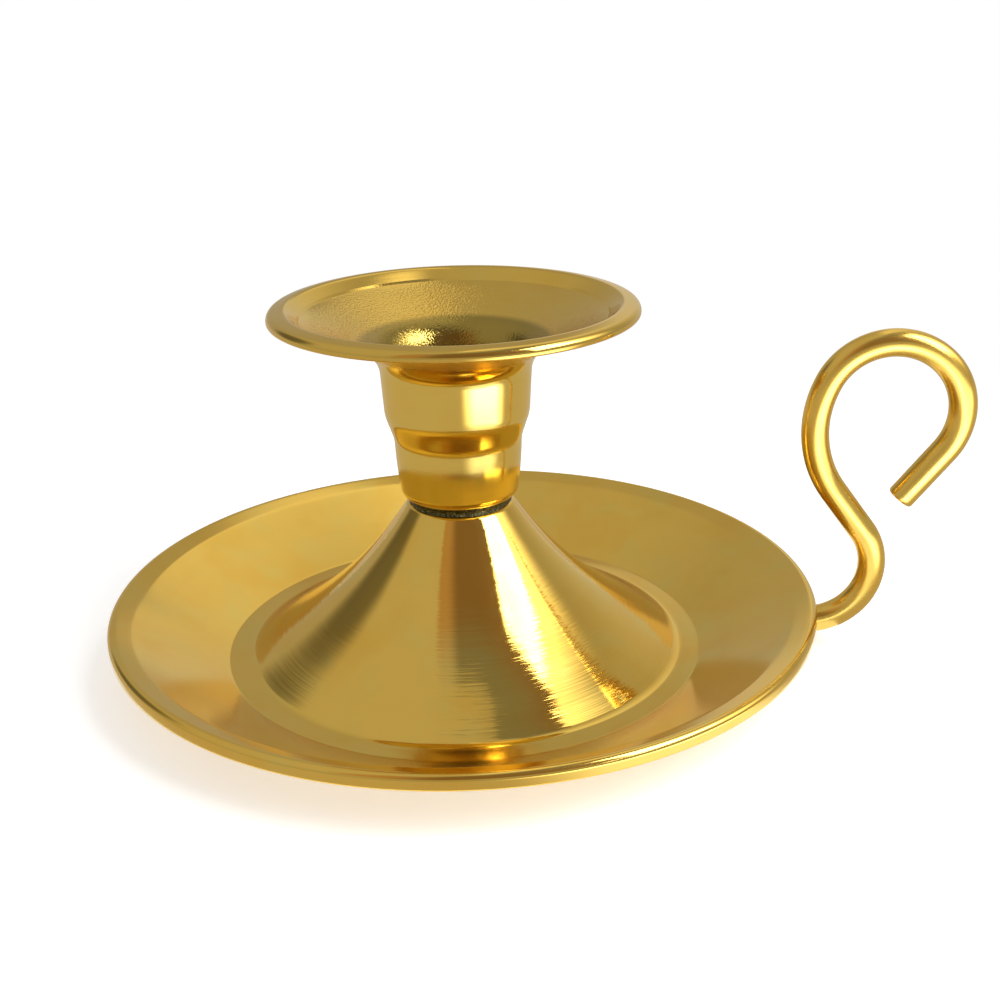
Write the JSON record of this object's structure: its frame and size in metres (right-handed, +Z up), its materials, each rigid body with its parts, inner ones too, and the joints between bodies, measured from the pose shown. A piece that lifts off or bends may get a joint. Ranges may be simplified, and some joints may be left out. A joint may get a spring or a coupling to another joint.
{
  "type": "chamber candlestick",
  "caption": "Polished brass chamber candlestick: spun dish with a raised cone, stepped candle cup with a flared drip pan, and a looped finger handle bent from round rod.",
  "frame": {"origin": "centre of the overall length and width, on the table under the foot ring", "axes": "+Z up along the candle, +X from the dish towards the handle, -Y is the side that the picture faces"},
  "size_m": [0.144, 0.12, 0.0608],
  "materials": {
    "dish_brass": "polished, with fine turning lines on the cone",
    "cup_brass": "polished, satin inside the drip pan",
    "rod_brass": "polished",
    "solder": "dull"
  },
  "bodies": {
    "root": {"base_dish": "dish_brass", "candle_cup": "cup_brass", "cup_solder": "solder", "handle": "rod_brass", "handle_solder": "solder"}
  },
  "joints": []
}
